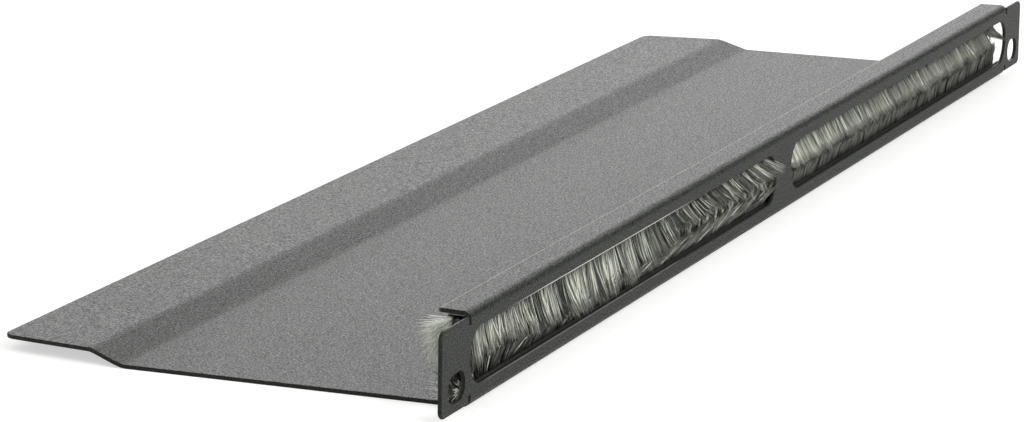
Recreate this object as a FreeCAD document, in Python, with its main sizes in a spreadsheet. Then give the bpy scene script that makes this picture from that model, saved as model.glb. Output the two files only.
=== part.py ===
"""Half-unit rack cable organizer: a folded steel panel and tray with brush strips behind two windows.

Frame: X runs along the rack width, Y from the front face to the back, Z up. The origin is midway
between the two ear slots, on the front face of the ears. All sizes are millimetres.
"""
import FreeCAD
import Part
import Sketcher
import math
import os

SIZES = {
    # folded sheet
    "overall_width": 482.6,
    "ear_reach": 16.3,
    "panel_height": 22.0,
    "sheet_gauge": 1.0,
    "bend_inside": 1.0,
    "edge_break": 0.25,
    # tray, step and rear lip
    "step_start": 86.0,
    "step_run": 8.6,
    "step_rise": 2.85,
    "step_bend_inside": 5.0,
    "lip_depth": 24.4,
    "lip_taper_lead": 2.0,
    "lip_taper": 4.5,
    "lip_corner": 3.5,
    # top flange
    "flange_depth": 8.2,
    "flange_taper": 0.9,
    # ears
    "ear_inset": 1.0,
    "ear_corner": 2.0,
    "ear_slot_inset": 8.75,
    "ear_slot_length": 10.3,
    "ear_slot_width": 6.9,
    "ear_slot_height": 6.6,
    # relief slits between the ears and the two long folds
    "slit_width": 1.2,
    "slit_inset": 0.8,
    "slit_reach": 3.0,
    # windows
    "window_edge": 4.4,
    "window_margin": 0.7,
    "web_width": 13.0,
    # brush channels
    "channel_width": 5.0,
    "channel_wall": 0.5,
    "channel_setback": 0.2,
    "channel_lip": 1.2,
    "channel_pinch": 0.45,
    "strip_margin": 2.0,
    "strip_middle_gap": 2.0,
    # core wires and bristles
    "wire_diameter": 1.2,
    "bristle_wrap": 0.7,
    "bristle_clearance": 0.05,
    "bristle_tip": 1.3,
    "bristle_splay": 4.0,
    "upper_bristle_reach": 1.0,
    "upper_bristle_lean": -1.7,
    "lower_bristle_reach": 0.4,
    "lower_bristle_lean": 0.75,
    # partings between the tufts
    "tuft_pitch": 4.5,
    "parting_width": 1.3,
    "parting_depth": 4.2,
    "parting_slant": 0.9,
}

BODY_SIDE = "Sizes.overall_width / 2 - Sizes.ear_reach"
BEND_OUTSIDE = "Sizes.bend_inside + Sizes.sheet_gauge"
STEP_BEND_OUTSIDE = "Sizes.step_bend_inside + Sizes.sheet_gauge"
STEP_END = "Sizes.step_start + Sizes.step_run"
STEP_SHIFT = "Sizes.sheet_gauge * tan(atan(Sizes.step_rise / Sizes.step_run) / 2)"
LIP_TOP = "Sizes.step_rise + Sizes.sheet_gauge"
LIP_SIDE = f"{BODY_SIDE} - Sizes.lip_taper"
TRAY_DEPTH = f"{STEP_END} + Sizes.lip_depth"
FLANGE_UNDERSIDE = "Sizes.panel_height - Sizes.sheet_gauge"
EAR_BOTTOM = "Sizes.ear_inset"
EAR_TOP = "Sizes.panel_height - Sizes.ear_inset"
EAR_SLOT_CENTRE = "Sizes.overall_width / 2 - Sizes.ear_slot_inset"
EAR_SLOT_INNER = f"{EAR_SLOT_CENTRE} - Sizes.ear_slot_length / 2"
EAR_SLOT_OUTER = f"{EAR_SLOT_CENTRE} + Sizes.ear_slot_length / 2"
EAR_SLOT_BOTTOM = "Sizes.ear_slot_height - Sizes.ear_slot_width / 2"
EAR_SLOT_TOP = "Sizes.ear_slot_height + Sizes.ear_slot_width / 2"
SLIT_INNER = f"{BODY_SIDE} - Sizes.slit_inset"
SLIT_OUTER = f"{SLIT_INNER} + Sizes.slit_width"
FLANGE_CORNER = f"{SLIT_INNER} - Sizes.flange_taper"
WINDOW_TOP = "Sizes.panel_height - Sizes.window_edge"
HALF_WINDOW = "Sizes.panel_height / 2 - Sizes.window_edge"
# the channels fill the sheet's margin above and below the windows, mouth flush with the window's edge
CHANNEL_HEIGHT = "Sizes.window_edge - Sizes.sheet_gauge"
CHANNEL_FRONT = "Sizes.sheet_gauge + Sizes.channel_setback"
CHANNEL_CENTRE = f"{CHANNEL_FRONT} + Sizes.channel_width / 2"
STRIP_START = "Sizes.strip_middle_gap / 2"
STRIP_END = f"{BODY_SIDE} - Sizes.strip_margin"
ROOT_DEPTH = "Sizes.channel_wall + Sizes.bristle_clearance"
WIRE_DEPTH = f"{ROOT_DEPTH} + Sizes.bristle_wrap + Sizes.wire_diameter / 2"
HALFWAY_LEAN = 0.3  # a bristle bends most near its tip, so halfway along it has this share of its lean
OVERCUT = 2.0  # how far cutting outlines run past the edge that they cut
MATCH = 0.01  # how near an edge lies to the place where it is looked for
SQUARE = 0.5  # the most that the cosine between two faces may be where they meet at a free edge

# each row: where its channels are seated, and which way its bristles point from there
ROWS = {
    "upper": (FLANGE_UNDERSIDE, "-"),
    "lower": ("Sizes.sheet_gauge", "+"),
}

doc = FreeCAD.newDocument("rack_cable_organizer")
sheet = doc.addObject("Spreadsheet::Sheet", "Sizes")
for row_number, (alias, size) in enumerate(SIZES.items(), 1):
    sheet.set(f"A{row_number}", alias)
    sheet.set(f"B{row_number}", str(size))
    sheet.setAlias(f"B{row_number}", alias)
doc.recompute()


def value(expression):
    """The present value of an expression, in millimetres."""
    return float(sheet.evalExpression(expression))


def new_body(name):
    """A body whose own zero height is the tray's underside, set down so that the ear slots are at Z = 0."""
    body = doc.addObject("PartDesign::Body", name)
    body.Label = name
    body.setExpression(".Placement.Base.z", "-Sizes.ear_slot_height")
    return body


def new_sketch(body, role, name, offset=None):
    """A sketch on one of the body's origin planes, moved along the plane's normal by an expression."""
    sketch = body.newObject("Sketcher::SketchObject", name)
    plane = next(f for f in body.Origin.OriginFeatures if f.Role == role)
    sketch.AttachmentSupport = (plane, [""])
    sketch.MapMode = "FlatFace"
    if offset:
        sketch.setExpression(".AttachmentOffset.Base.z", offset)
    return sketch


def drive(sketch, constraint, expression):
    """Add a dimension to a sketch and bind it to an expression."""
    index = sketch.addConstraint(constraint)
    sketch.setExpression(f"Constraints[{index}]", expression)


def polygon(sketch, corners):
    """A closed outline of straight lines through corners, each an (across, up) pair of expressions."""
    points = [FreeCAD.Vector(value(across), value(up), 0) for across, up in corners]
    lines = [
        sketch.addGeometry(Part.LineSegment(point, points[(i + 1) % len(points)]))
        for i, point in enumerate(points)
    ]
    for i, line in enumerate(lines):
        after = lines[(i + 1) % len(lines)]
        sketch.addConstraint(Sketcher.Constraint("Coincident", line, 2, after, 1))
    for line, point, (across, up) in zip(lines, points, corners):
        drive(sketch, Sketcher.Constraint("DistanceX", -1, 1, line, 1, point.x), across)
        drive(sketch, Sketcher.Constraint("DistanceY", -1, 1, line, 1, point.y), up)


def obround(sketch, left, right, bottom, top):
    """A slot with full-round ends between two sides, each side an expression."""
    radius = (value(top) - value(bottom)) / 2
    middle = (value(top) + value(bottom)) / 2
    start = FreeCAD.Vector(value(left) + radius, middle, 0)
    end = FreeCAD.Vector(value(right) - radius, middle, 0)
    rise = FreeCAD.Vector(0, radius, 0)
    axis = FreeCAD.Vector(0, 0, 1)
    quarter = math.pi / 2
    lower = sketch.addGeometry(Part.LineSegment(start - rise, end - rise))
    right_arc = sketch.addGeometry(
        Part.ArcOfCircle(Part.Circle(end, axis, radius), -quarter, quarter)
    )
    upper = sketch.addGeometry(Part.LineSegment(end + rise, start + rise))
    left_arc = sketch.addGeometry(
        Part.ArcOfCircle(Part.Circle(start, axis, radius), quarter, 3 * quarter)
    )
    ring = [lower, right_arc, upper, left_arc]
    for i, piece in enumerate(ring):
        after = ring[(i + 1) % len(ring)]
        sketch.addConstraint(Sketcher.Constraint("Tangent", piece, 2, after, 1))
    sketch.addConstraint(Sketcher.Constraint("Horizontal", lower))
    half_height = f"(({top}) - ({bottom})) / 2"
    drive(sketch, Sketcher.Constraint("Radius", right_arc, radius), half_height)
    for arc, centre, across in (
        (left_arc, start, f"{left} + {half_height}"),
        (right_arc, end, f"{right} - {half_height}"),
    ):
        drive(sketch, Sketcher.Constraint("DistanceX", -1, 1, arc, 3, centre.x), across)
    drive(
        sketch,
        Sketcher.Constraint("DistanceY", -1, 1, left_arc, 3, middle),
        f"(({top}) + ({bottom})) / 2",
    )


def halves(corners):
    """The front and back halves of a symmetric outline's corners."""
    middle = len(corners) // 2
    return corners[:middle], corners[middle:]


def circle(sketch, across, up, radius):
    """A circle about a centre, each value an expression."""
    centre = FreeCAD.Vector(value(across), value(up), 0)
    ring = sketch.addGeometry(
        Part.Circle(centre, FreeCAD.Vector(0, 0, 1), value(radius))
    )
    drive(sketch, Sketcher.Constraint("DistanceX", -1, 1, ring, 3, centre.x), across)
    drive(sketch, Sketcher.Constraint("DistanceY", -1, 1, ring, 3, centre.y), up)
    drive(sketch, Sketcher.Constraint("Radius", ring, value(radius)), radius)


def extrude(body, kind, sketch, name, length=None, reverse=False, both_ways=False):
    """A Pad or Pocket of a sketch by an expression, or right through where no length is given."""
    feature = body.newObject(f"PartDesign::{kind}", name)
    feature.Profile = sketch
    feature.Reversed = reverse
    if both_ways:
        feature.SideType = "Symmetric"
    if length:
        feature.setExpression("Length", length)
    else:
        feature.Type = "ThroughAll"
    doc.recompute()
    return feature


def soften(body, kind, base, name, size, wanted):
    """A Fillet or Chamfer, by a size given as an expression, on the edges of base that a test picks out."""
    doc.recompute()
    names = [f"Edge{i}" for i, edge in enumerate(base.Shape.Edges, 1) if wanted(edge)]
    feature = body.newObject(f"PartDesign::{kind}", name)
    feature.Base = (base, names)
    feature.setExpression("Radius" if kind == "Fillet" else "Size", size)
    doc.recompute()
    return feature


def runs_along(edge, direction):
    """Whether an edge is a straight line along a direction."""
    if edge.Curve.TypeId != "Part::GeomLine":
        return False
    return edge.Curve.Direction.isParallel(direction, MATCH)


def lengthwise_at(*corners):
    """A test for straight edges along X through any of the corners, (Y, Z) pairs of expressions."""
    places = [(value(y), value(z)) for y, z in corners]

    def wanted(edge):
        if not runs_along(edge, FreeCAD.Vector(1, 0, 0)):
            return False
        middle = edge.CenterOfMass
        return any(abs(middle.y - y) + abs(middle.z - z) < MATCH for y, z in places)

    return wanted


def meets_squarely(shape, edge):
    """Whether two faces of a shape meet at about a right angle along an edge."""
    faces = shape.ancestorsOfType(edge, Part.Face)
    middle = edge.valueAt((edge.FirstParameter + edge.LastParameter) / 2)
    normals = [face.normalAt(*face.Surface.parameter(middle)) for face in faces]
    return len(normals) == 2 and abs(normals[0].dot(normals[1])) < SQUARE


def folded_panel_tray():
    """Front panel, ears, top flange, tray, step and rear lip: one folded and punched sheet."""
    body = new_body("folded_panel_tray")
    height = "Sizes.panel_height"
    gauge = "Sizes.sheet_gauge"

    profile = new_sketch(body, "YZ_Plane", "fold_profile")
    polygon(profile, [
        ("Sizes.flange_depth", height),
        ("0", height),
        ("0", "0"),
        ("Sizes.step_start", "0"),
        (STEP_END, "Sizes.step_rise"),
        (TRAY_DEPTH, "Sizes.step_rise"),
        (TRAY_DEPTH, LIP_TOP),
        (f"{STEP_END} - {STEP_SHIFT}", LIP_TOP),
        (f"Sizes.step_start - {STEP_SHIFT}", gauge),
        (gauge, gauge),
        (gauge, FLANGE_UNDERSIDE),
        ("Sizes.flange_depth", FLANGE_UNDERSIDE),
    ])
    shape = extrude(body, "Pad", profile, "folded_strip", f"2 * ({BODY_SIDE})", both_ways=True)
    shape = soften(
        body, "Fillet", shape, "fold_outsides", BEND_OUTSIDE, lengthwise_at(("0", "0"), ("0", height))
    )
    shape = soften(
        body, "Fillet", shape, "fold_insides", "Sizes.bend_inside",
        lengthwise_at((gauge, gauge), (gauge, FLANGE_UNDERSIDE)),
    )
    shape = soften(
        body, "Fillet", shape, "step_outsides", STEP_BEND_OUTSIDE,
        lengthwise_at(("Sizes.step_start", "0"), (f"{STEP_END} - {STEP_SHIFT}", LIP_TOP)),
    )
    shape = soften(
        body, "Fillet", shape, "step_insides", "Sizes.step_bend_inside",
        lengthwise_at((f"Sizes.step_start - {STEP_SHIFT}", gauge), (STEP_END, "Sizes.step_rise")),
    )

    ear_outline = new_sketch(body, "XZ_Plane", "ear_outline")
    ear_root = f"{BODY_SIDE} - Sizes.slit_inset / 2"
    polygon(ear_outline, [
        (ear_root, EAR_BOTTOM),
        ("Sizes.overall_width / 2", EAR_BOTTOM),
        ("Sizes.overall_width / 2", EAR_TOP),
        (ear_root, EAR_TOP),
    ])
    ear = extrude(body, "Pad", ear_outline, "ear", gauge, reverse=True)

    slits = new_sketch(body, "XZ_Plane", "slit_outline")
    for low, high in (
        (f"-{OVERCUT}", "Sizes.slit_reach"),
        (f"{height} - Sizes.slit_reach", f"{height} + {OVERCUT}"),
    ):
        polygon(slits, [
            (SLIT_INNER, low),
            (SLIT_OUTER, low),
            (SLIT_OUTER, high),
            (SLIT_INNER, high),
        ])
    slit = extrude(body, "Pocket", slits, "slits", "Sizes.slit_reach")

    flange_outline = new_sketch(body, "XY_Plane", "flange_end_outline", height)
    polygon(flange_outline, [
        (SLIT_INNER, "0"),
        (FLANGE_CORNER, "Sizes.flange_depth"),
        (f"{BODY_SIDE} + {OVERCUT}", "Sizes.flange_depth"),
        (f"{BODY_SIDE} + {OVERCUT}", gauge),
        (SLIT_INNER, gauge),
    ])
    flange_end = extrude(body, "Pocket", flange_outline, "flange_end", BEND_OUTSIDE)

    lip_outline = new_sketch(body, "XY_Plane", "lip_side_outline")
    polygon(lip_outline, [
        (BODY_SIDE, "Sizes.step_start + Sizes.lip_taper_lead"),
        (LIP_SIDE, TRAY_DEPTH),
        (BODY_SIDE, TRAY_DEPTH),
    ])
    lip_side = extrude(body, "Pocket", lip_outline, "lip_side", both_ways=True)

    window_outline = new_sketch(body, "XZ_Plane", "window_outline")
    obround(
        window_outline, "Sizes.web_width / 2", f"{BODY_SIDE} - Sizes.window_margin",
        "Sizes.window_edge", WINDOW_TOP,
    )
    window = extrude(body, "Pocket", window_outline, "window", gauge)

    ear_slot_outline = new_sketch(body, "XZ_Plane", "ear_slot_outline")
    obround(ear_slot_outline, EAR_SLOT_INNER, EAR_SLOT_OUTER, EAR_SLOT_BOTTOM, EAR_SLOT_TOP)
    ear_slot = extrude(body, "Pocket", ear_slot_outline, "ear_slot", gauge)

    sides = body.newObject("PartDesign::Mirrored", "both_sides")
    sides.Originals = [ear, slit, flange_end, lip_side, window, ear_slot]
    sides.MirrorPlane = (window_outline, ["V_Axis"])
    body.Tip = sides
    doc.recompute()

    ear_edge = value("Sizes.overall_width / 2")
    lip_edge = value(LIP_SIDE)
    lip_rear = value(TRAY_DEPTH)

    def ear_corner(edge):
        middle = edge.CenterOfMass
        return runs_along(edge, FreeCAD.Vector(0, 1, 0)) and abs(abs(middle.x) - ear_edge) < MATCH

    def lip_corner(edge):
        middle = edge.CenterOfMass
        at_rear = abs(middle.y - lip_rear) < MATCH and abs(abs(middle.x) - lip_edge) < MATCH
        return runs_along(edge, FreeCAD.Vector(0, 0, 1)) and at_rear

    shape = soften(body, "Fillet", sides, "ear_corners", "Sizes.ear_corner", ear_corner)
    shape = soften(body, "Fillet", shape, "lip_corners", "Sizes.lip_corner", lip_corner)

    # the slits, the flange's ends and the ear slots stay crisp, so a slot's wall keeps its full depth
    reach = value("Sizes.slit_reach")
    top = value(height)
    thickness = value(gauge)
    crisp = [
        FreeCAD.BoundBox(value(SLIT_INNER), 0, 0, value(SLIT_OUTER), reach, reach),
        FreeCAD.BoundBox(
            value(FLANGE_CORNER), 0, top - reach,
            value(SLIT_OUTER), value("Sizes.flange_depth"), top,
        ),
        FreeCAD.BoundBox(
            value(EAR_SLOT_INNER), 0, value(EAR_SLOT_BOTTOM),
            value(EAR_SLOT_OUTER), thickness, value(EAR_SLOT_TOP),
        ),
    ]
    for box in crisp:
        box.enlarge(MATCH)

    def free_edges(whole, of_panel):
        """A test for the long free edges, either the upright panel's or all the others."""

        def wanted(edge):
            middle = edge.CenterOfMass
            middle.x = abs(middle.x)
            if edge.Length < 2 * thickness or any(box.isInside(middle) for box in crisp):
                return False
            in_panel = middle.y < thickness + MATCH
            return in_panel == of_panel and meets_squarely(whole, edge)

        return wanted

    shape = soften(
        body, "Chamfer", shape, "panel_edges", "Sizes.edge_break", free_edges(shape.Shape, True)
    )
    shape = soften(
        body, "Fillet", shape, "tray_edges", "Sizes.edge_break", free_edges(shape.Shape, False)
    )
    body.Tip = shape
    return body


def brush_strip(row):
    """The right-hand strip of a row: its channel, core wire and bristles, as three bodies."""
    seat, way = ROWS[row]
    length = f"({HALF_WINDOW} + Sizes.{row}_bristle_reach)"
    lean = f"Sizes.{row}_bristle_lean"

    def up(depth):
        """The height of a point at a depth from the strip's seat."""
        return f"{seat} {way} ({depth})"

    def mirrored_outline(steps):
        """Corners from (half width, depth) steps, symmetric about the channel's middle."""
        front = [(f"{CHANNEL_CENTRE} - ({half})", up(depth)) for half, depth in steps]
        back = [(f"{CHANNEL_CENTRE} + ({half})", up(depth)) for half, depth in reversed(steps)]
        return front + back

    outer = "Sizes.channel_width / 2"
    inner = f"{outer} - Sizes.channel_wall"
    lip_depth = f"{CHANNEL_HEIGHT} - Sizes.channel_lip"
    pinched = "Sizes.channel_pinch"
    strip_length = f"({STRIP_END}) - ({STRIP_START})"

    channel = new_body(f"right_{row}_brush_channel")
    section = new_sketch(channel, "YZ_Plane", f"{row}_channel_section", STRIP_START)
    outside = [(outer, "0"), (outer, lip_depth), (f"{outer} - {pinched}", CHANNEL_HEIGHT)]
    inside = [
        (f"{inner} - {pinched}", CHANNEL_HEIGHT),
        (inner, lip_depth),
        (inner, "Sizes.channel_wall"),
    ]
    outside_front, outside_back = halves(mirrored_outline(outside))
    inside_front, inside_back = halves(mirrored_outline(inside))
    polygon(section, outside_front + inside_front + inside_back + outside_back)
    shape = extrude(channel, "Pad", section, f"{row}_channel_length", strip_length)
    edges = [(f"{CHANNEL_CENTRE} {side} {outer}", seat) for side in "-+"]
    shape = soften(
        channel, "Fillet", shape, f"{row}_channel_corners", "Sizes.bend_inside", lengthwise_at(*edges)
    )
    channel.Tip = shape

    wire = new_body(f"right_{row}_core_wire")
    wire_section = new_sketch(wire, "YZ_Plane", f"{row}_wire_section", STRIP_START)
    circle(wire_section, CHANNEL_CENTRE, up(WIRE_DEPTH), "Sizes.wire_diameter / 2")
    extrude(wire, "Pad", wire_section, f"{row}_wire_length", strip_length)

    bristles = new_body(f"right_{row}_bristles")
    bundle = new_sketch(bristles, "YZ_Plane", f"{row}_bundle_section", STRIP_START)
    fit = "Sizes.bristle_clearance"
    mouth = f"{inner} - {pinched} - {fit}"
    half_tip = "Sizes.bristle_tip / 2"
    root = [
        (f"{inner} - {fit}", ROOT_DEPTH),
        (f"{inner} - {fit}", lip_depth),
        (mouth, CHANNEL_HEIGHT),
    ]
    root_front, root_back = halves(mirrored_outline(root))
    tip_up = up(f"{CHANNEL_HEIGHT} + {length}")
    halfway_up = up(f"{CHANNEL_HEIGHT} + {length} / 2")
    halfway_centre = f"{CHANNEL_CENTRE} + {lean} * {HALFWAY_LEAN}"
    halfway = f"({mouth} + {half_tip}) / 2"
    polygon(bundle, root_front + [
        (f"{halfway_centre} - {halfway}", halfway_up),
        (f"{CHANNEL_CENTRE} + {lean} - {half_tip}", tip_up),
        (f"{CHANNEL_CENTRE} + {lean} + {half_tip}", tip_up),
        (f"{halfway_centre} + {halfway}", halfway_up),
    ] + root_back)
    circle(bundle, CHANNEL_CENTRE, up(WIRE_DEPTH), f"Sizes.wire_diameter / 2 + {fit}")
    extrude(bristles, "Pad", bundle, f"{row}_bundle_length", f"{strip_length} + Sizes.bristle_splay")

    end = new_sketch(bristles, "XZ_Plane", f"{row}_splayed_end_outline")
    beyond = f"{STRIP_END} + Sizes.bristle_splay + {OVERCUT}"
    polygon(end, [
        (STRIP_END, up(f"-{OVERCUT}")),
        (STRIP_END, up(CHANNEL_HEIGHT)),
        (f"{STRIP_END} + Sizes.bristle_splay", tip_up),
        (beyond, tip_up),
        (beyond, up(f"-{OVERCUT}")),
    ])
    extrude(bristles, "Pocket", end, f"{row}_splayed_end", both_ways=True)

    parting = new_sketch(bristles, "XZ_Plane", f"{row}_parting_outline")
    first = f"{STRIP_START} + Sizes.tuft_pitch"
    past_tip = up(f"{CHANNEL_HEIGHT} + {length} + {OVERCUT}")
    polygon(parting, [
        (first, up(f"{CHANNEL_HEIGHT} + {length} - Sizes.parting_depth")),
        (f"{first} + Sizes.parting_slant - Sizes.parting_width / 2", tip_up),
        (f"{first} + Sizes.parting_slant - Sizes.parting_width / 2", past_tip),
        (f"{first} + Sizes.parting_slant + Sizes.parting_width / 2", past_tip),
        (f"{first} + Sizes.parting_slant + Sizes.parting_width / 2", tip_up),
    ])
    cut = extrude(bristles, "Pocket", parting, f"{row}_parting", both_ways=True)
    tufts = bristles.newObject("PartDesign::LinearPattern", f"{row}_tufts")
    tufts.Originals = [cut]
    tufts.Direction = (parting, ["H_Axis"])
    tufts.Mode = "Spacing"
    tufts.setExpression("Offset", "Sizes.tuft_pitch")
    tufts.setExpression("Occurrences", f"floor(({strip_length}) / Sizes.tuft_pitch)")
    bristles.Tip = tufts
    doc.recompute()
    return [channel, wire, bristles]


def left_hand(body):
    """The left-hand twin of a right-hand piece, mirrored in the middle of the panel."""
    name = body.Label.replace("right_", "left_")
    twin = doc.addObject("Part::Mirroring", name)
    twin.Label = name
    twin.Source = body
    twin.Normal = FreeCAD.Vector(1, 0, 0)
    return twin


pieces = [folded_panel_tray()]
for row_name in ROWS:
    strip = brush_strip(row_name)
    pieces += strip + [left_hand(piece) for piece in strip]
doc.recompute()

for item in doc.Objects:
    if "Invalid" in item.State or "Error" in item.State:
        raise RuntimeError(f"{item.Label} did not build: {item.State}")
for piece in pieces:
    if piece.Shape.isNull() or not piece.Shape.isValid():
        raise RuntimeError(f"{piece.Label} has no valid shape")
    if len(piece.Shape.Solids) != 1:
        raise RuntimeError(f"{piece.Label} is {len(piece.Shape.Solids)} solids, not one")

os.makedirs("parts", exist_ok=True)
for piece in pieces:
    piece.Shape.exportStep(f"parts/{piece.Label}.step")
    print(f"{piece.Label}: {piece.Shape.Volume:.1f} cubic mm")
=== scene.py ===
"""Looks of a half-unit rack cable organizer: powder-coated sheet, brush channels and nylon bristles."""
import logging
import math
from dataclasses import dataclass, fields
from enum import Enum

import bmesh
import bpy
import numpy as np
from mathutils import Matrix, Vector


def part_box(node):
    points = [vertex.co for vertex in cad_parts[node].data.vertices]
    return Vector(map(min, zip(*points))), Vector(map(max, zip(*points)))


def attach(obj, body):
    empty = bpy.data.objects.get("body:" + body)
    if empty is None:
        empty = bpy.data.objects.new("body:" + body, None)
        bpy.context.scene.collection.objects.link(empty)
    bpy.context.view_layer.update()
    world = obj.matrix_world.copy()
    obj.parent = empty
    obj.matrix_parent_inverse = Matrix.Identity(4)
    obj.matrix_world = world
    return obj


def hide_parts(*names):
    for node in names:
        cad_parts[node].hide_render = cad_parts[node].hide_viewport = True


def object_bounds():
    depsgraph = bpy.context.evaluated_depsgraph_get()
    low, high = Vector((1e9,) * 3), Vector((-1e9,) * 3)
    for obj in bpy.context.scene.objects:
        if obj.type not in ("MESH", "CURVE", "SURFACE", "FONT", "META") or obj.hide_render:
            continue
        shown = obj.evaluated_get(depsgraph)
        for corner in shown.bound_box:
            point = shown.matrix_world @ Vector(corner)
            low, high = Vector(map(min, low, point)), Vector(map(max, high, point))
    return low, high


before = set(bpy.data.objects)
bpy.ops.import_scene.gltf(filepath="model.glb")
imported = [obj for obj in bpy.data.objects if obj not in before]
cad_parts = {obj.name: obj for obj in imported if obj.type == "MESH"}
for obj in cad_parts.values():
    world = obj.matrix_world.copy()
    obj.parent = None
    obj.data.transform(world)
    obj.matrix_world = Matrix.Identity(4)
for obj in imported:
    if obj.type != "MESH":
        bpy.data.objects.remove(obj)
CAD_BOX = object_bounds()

log = logging.getLogger("organizer")

MM = 0.001
ROOT_BODY = "root"

# the picture's width in pixels, and a camera sensor's in millimetres
IMAGE_WIDTH = 1024
SENSOR_WIDTH = 36.0

# the sockets of a Mix node that mixes colours; it has more of the same names for other kinds of data
MIX_SHARE = 0
MIX_FIRST = 6
MIX_SECOND = 7
MIX_COLOUR = 2


def linear(hex_colour: str) -> tuple[float, float, float, float]:
    """Turn an sRGB hex colour into linear light.

    Args:
        hex_colour: Six hex digits, such as "8a8c86".

    Returns:
        Linear red, green, blue and an alpha of one.
    """
    channels = [int(hex_colour[i:i + 2], 16) / 255 for i in (0, 2, 4)]
    red, green, blue = (c / 12.92 if c <= 0.04045 else ((c + 0.055) / 1.055) ** 2.4 for c in channels)
    return red, green, blue, 1.0


def per_metre(size_mm: float) -> float:
    """The texture scale whose features are about size_mm across."""
    return 1.0 / (size_mm * MM)


def add_node(
    tree: bpy.types.NodeTree,
    kind: str,
    values: dict | None = None,
    links: dict | None = None,
    **settings: object,
) -> bpy.types.Node:
    """Add one node with its settings, socket values and incoming links.

    Args:
        tree: The node tree to add to.
        kind: The node's type name.
        values: Socket name or index to default value.
        links: Socket name or index to the output socket that feeds it.
        **settings: The node's own properties.

    Returns:
        The new node.
    """
    node = tree.nodes.new(kind)
    for name, setting in settings.items():
        setattr(node, name, setting)
    for socket, value in (values or {}).items():
        node.inputs[socket].default_value = value
    for socket, source in (links or {}).items():
        tree.links.new(source, node.inputs[socket])
    return node


def blank_material(name: str) -> tuple[bpy.types.Material, bpy.types.NodeTree]:
    """Add a material whose node tree holds nothing yet.

    Args:
        name: The new material's name.

    Returns:
        The material and its node tree.
    """
    material = bpy.data.materials.new(name)
    material.use_nodes = True
    material.node_tree.nodes.clear()
    return material, material.node_tree


def paint(piece: bpy.types.Object, material: bpy.types.Material) -> None:
    """Make a material the only one on a piece."""
    piece.data.materials.clear()
    piece.data.materials.append(material)


class Axis(Enum):
    """The axes that place a painted edge highlight, by the names of a vector's parts."""

    DEPTH = "Y"
    HEIGHT = "Z"


@dataclass(frozen=True)
class EdgeHighlight:
    """A thin pale line along a panel edge, a painted highlight where the edge catches the light.

    It lies within a half width of one place on its axis, and only above a least height. It reaches both
    ways along the panel from its middle, and fades from a share of that reach. Lengths are millimetres in
    the CAD's frame.
    """

    colour: str
    axis: Axis
    place: float
    middle: float
    reach: float
    half: float = 0.11
    fade: float = 0.6
    above: float = -10.0


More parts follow.
